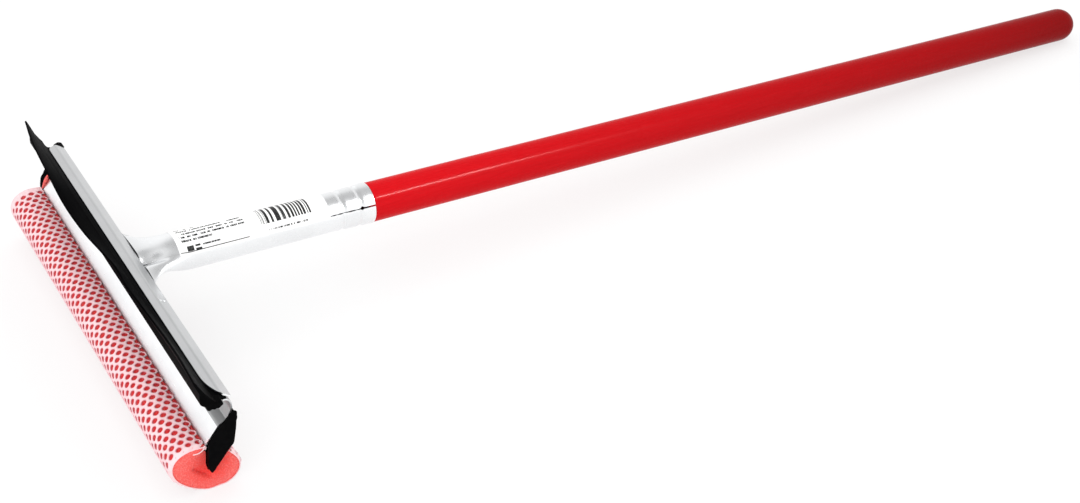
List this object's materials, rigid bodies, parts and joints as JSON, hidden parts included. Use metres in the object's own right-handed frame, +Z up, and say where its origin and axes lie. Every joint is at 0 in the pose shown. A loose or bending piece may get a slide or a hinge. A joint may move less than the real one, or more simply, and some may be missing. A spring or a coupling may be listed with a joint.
{
  "type": "window cleaning squeegee",
  "caption": "Window squeegee with a folded sheet-metal head, rubber blade, netted sponge and a round wooden handle in a crimped socket.",
  "frame": {"origin": "middle of the bounding box's bottom, on the surface that the squeegee lies on", "axes": "+X from the head to the butt of the handle, +Y along the head, +Z up as it lies on its sponge and its butt"},
  "size_m": [0.6078, 0.212, 0.0628],
  "materials": {
    "lacquered_wood": "red gloss lacquer",
    "zinc_sheet": "bright zinc-plated sheet",
    "label_paper": "coated white label",
    "black_rubber": "matte",
    "red_foam": "open-cell foam",
    "net_thread": "knitted nylon net"
  },
  "bodies": {
    "body": {"handle": "lacquered_wood", "socket": "zinc_sheet", "label": "label_paper", "top_jaw": "zinc_sheet", "sponge_plate": "zinc_sheet", "blade_root": "black_rubber", "sponge": "red_foam", "netting": "net_thread", "sponge_core": "black_rubber"},
    "blade": {"blade_lip": "black_rubber"}
  },
  "joints": [
    {"name": "blade_flex", "type": "hinge", "parent": "body", "child": "blade", "pos_m": [-0.28468, 0, 0.0499], "axis": [0, 1, 0], "range_deg": [-35, 30], "stiffness_Nm_per_rad": 0.2}
  ]
}
